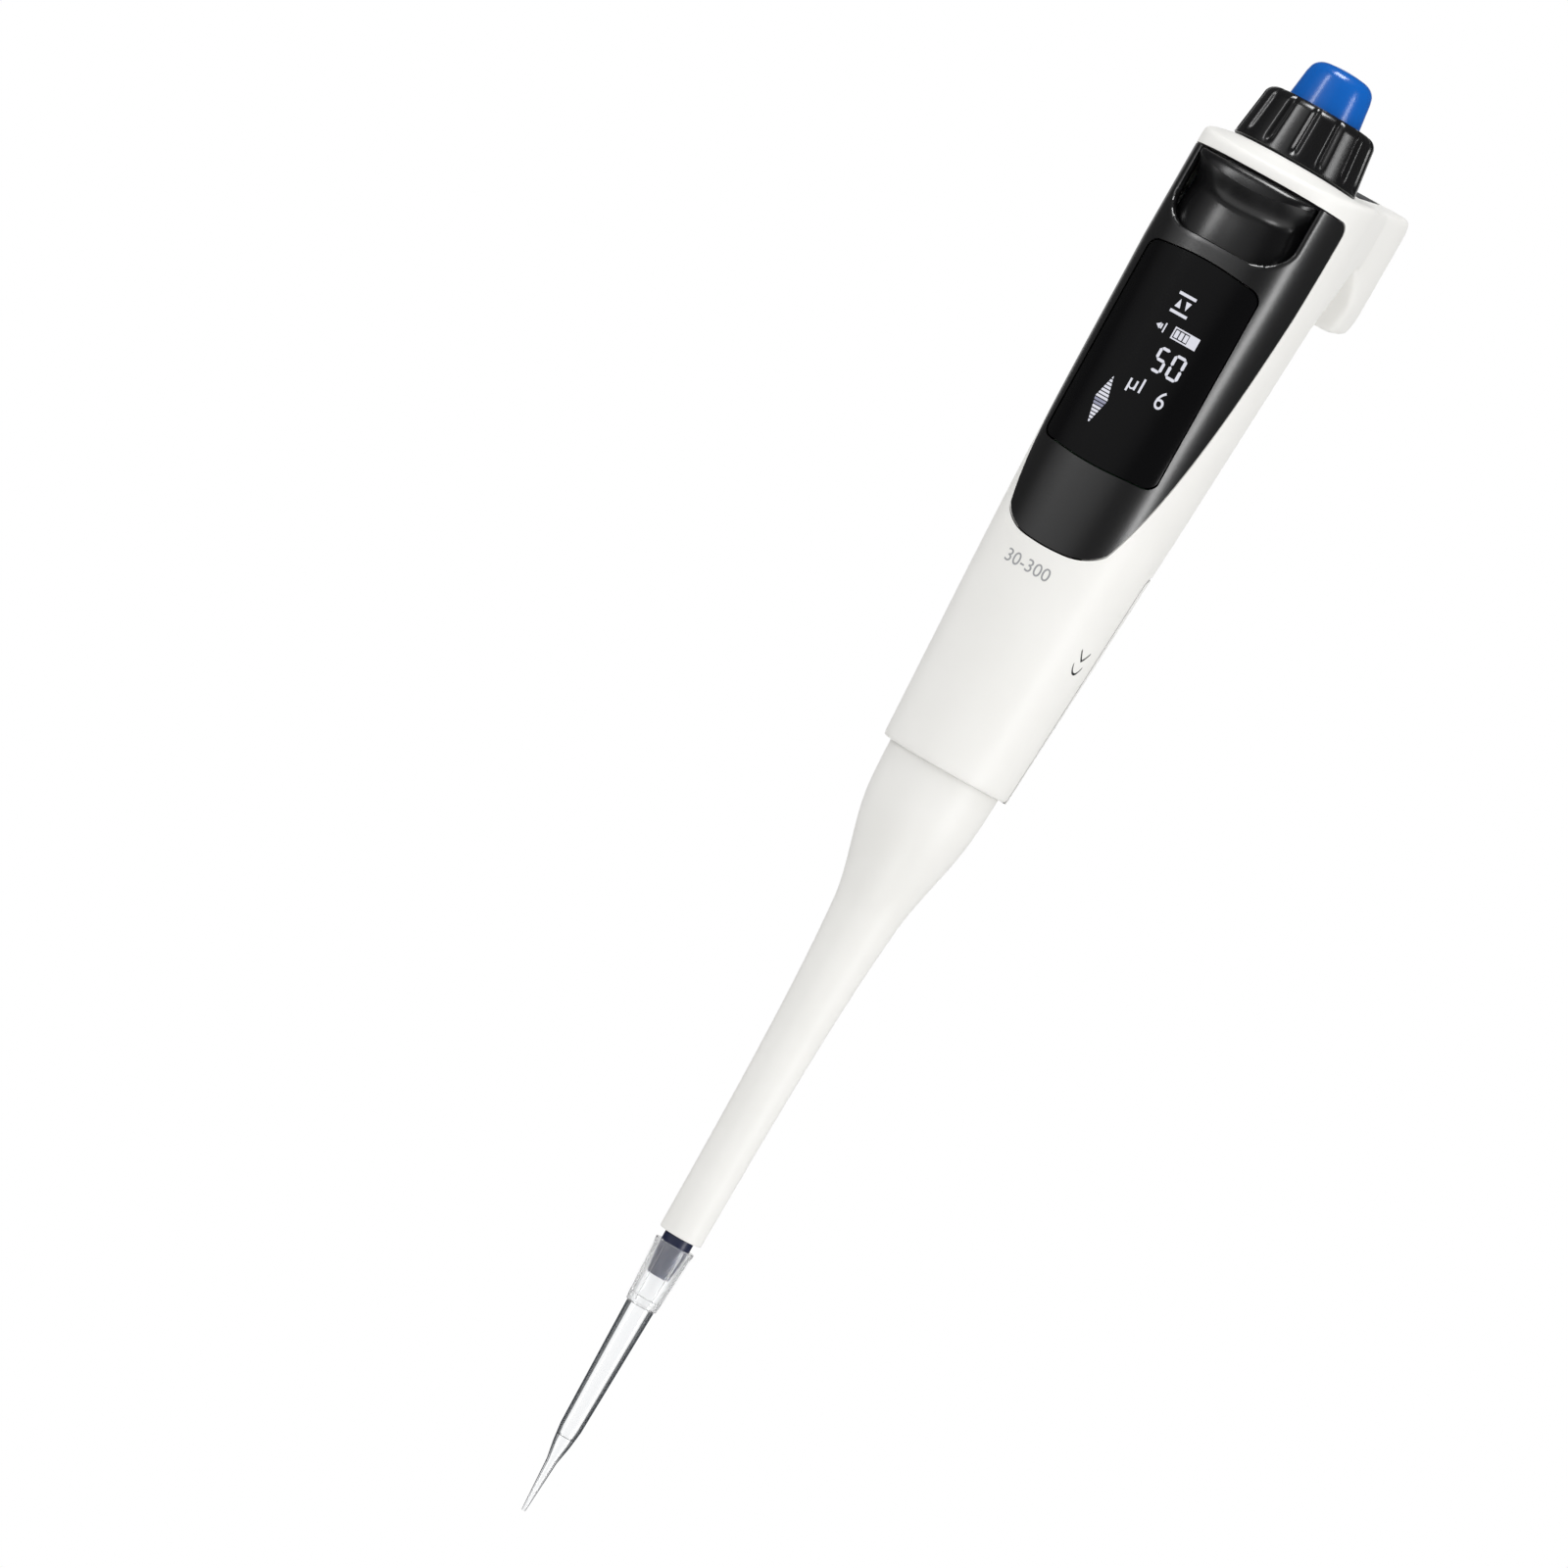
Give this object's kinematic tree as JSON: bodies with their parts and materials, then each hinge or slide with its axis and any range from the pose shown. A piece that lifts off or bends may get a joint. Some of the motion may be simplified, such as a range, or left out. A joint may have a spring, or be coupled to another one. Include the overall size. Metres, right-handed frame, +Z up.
{
  "type": "electronic pipette",
  "caption": "Hand-held electronic pipette with a display, turning knob, push button, ejector key, finger hook, lower sleeve and clear tip.",
  "frame": {"origin": "on the piston axis, level with the flat seat under the finger hook", "axes": "+Z up along the piston axis towards the push button, -Y the side with the display, +Y the way the finger hook reaches, +X to the right of a viewer who faces the display"},
  "size_m": [0.0354, 0.0662, 0.3219],
  "materials": {
    "white_casing": "satin warm white",
    "gloss_black": "high gloss",
    "display_black": "high gloss, near black",
    "knob_black": "semi-gloss",
    "button_blue": "gloss",
    "cone_navy": "satin",
    "clear_tip": "clear, moulded",
    "grey_plastic": "matte",
    "steel": "ground",
    "brass": "turned",
    "copper_winding": "enamelled wire",
    "circuit_board": "solder mask",
    "battery_wrap": "wrapped pouch cell",
    "seal_rubber": "matte"
  },
  "bodies": {
    "handle": {"handle_shell": "white_casing", "front_panel": "gloss_black", "display_window": "display_black", "hook_inlay": "grey_plastic", "chassis": "grey_plastic", "encoder_body": "grey_plastic", "button_switch": "grey_plastic", "key_board": "circuit_board", "key_board_screw_left": "steel", "key_board_screw_right": "steel", "buzzer": "grey_plastic", "main_board": "circuit_board", "display_module": "display_black", "battery_pack": "battery_wrap", "battery_contact_minus": "brass", "battery_contact_plus": "brass", "motor_case": "steel", "motor_stator": "copper_winding", "motor_bearing_lower": "brass", "motor_bearing_upper": "brass", "motor_screw_left": "steel", "motor_screw_right": "steel", "home_sensor": "grey_plastic", "piston_barrel": "grey_plastic", "barrel_nut": "brass", "piston_seal": "seal_rubber", "seal_retainer": "brass", "nozzle_cone": "cone_navy", "ejector_spring": "steel"},
    "knob": {"control_knob": "knob_black", "knob_shaft": "steel", "button_spring": "steel"},
    "button": {"push_button": "button_blue", "button_stem": "white_casing"},
    "ejector": {"ejector_key": "gloss_black", "ejector_rod": "steel", "ejector_sleeve": "white_casing"},
    "tip": {"pipette_tip": "clear_tip"},
    "rear_cover": {"battery_cover": "white_casing"},
    "rotor": {"motor_rotor": "steel", "lead_screw": "steel"},
    "piston": {"carriage": "grey_plastic", "piston_rod": "steel"}
  },
  "joints": [
    {"name": "knob_turn", "type": "hinge", "parent": "handle", "child": "knob", "pos_m": [0, 0, 0], "axis": [0, 0, 1], "continuous": true},
    {"name": "button_press", "type": "slide", "parent": "knob", "child": "button", "axis": [0, 0, -1], "range_m": [0, 0.002], "stiffness_N_per_m": 400, "springref_m": -0.003, "deforming": ["button_spring"]},
    {"name": "ejector_press", "type": "slide", "parent": "handle", "child": "ejector", "axis": [0, 0, -1], "range_m": [0, 0.007], "stiffness_N_per_m": 800, "springref_m": -0.004, "deforming": ["ejector_spring"]},
    {"name": "tip_off", "type": "slide", "parent": "handle", "child": "tip", "axis": [0, 0, -1], "range_m": [0, 0.0053]},
    {"name": "battery_cover_slide", "type": "slide", "parent": "handle", "child": "rear_cover", "axis": [0, 0, -1], "range_m": [0, 0.05]},
    {"name": "rotor_turn", "type": "hinge", "parent": "handle", "child": "rotor", "pos_m": [0, 0, -0.056], "axis": [0, 0, 1], "range_deg": [0, 4392]},
    {"name": "piston_slide", "type": "slide", "parent": "handle", "child": "piston", "axis": [0, 0, -1], "range_m": [0, 0.0122]}
  ],
  "couplings": [
    {"joint": "tip_off", "follows": "ejector_press", "ratio": 0.757},
    {"joint": "rotor_turn", "follows": "piston_slide", "rad_per_m": 6283.1}
  ]
}
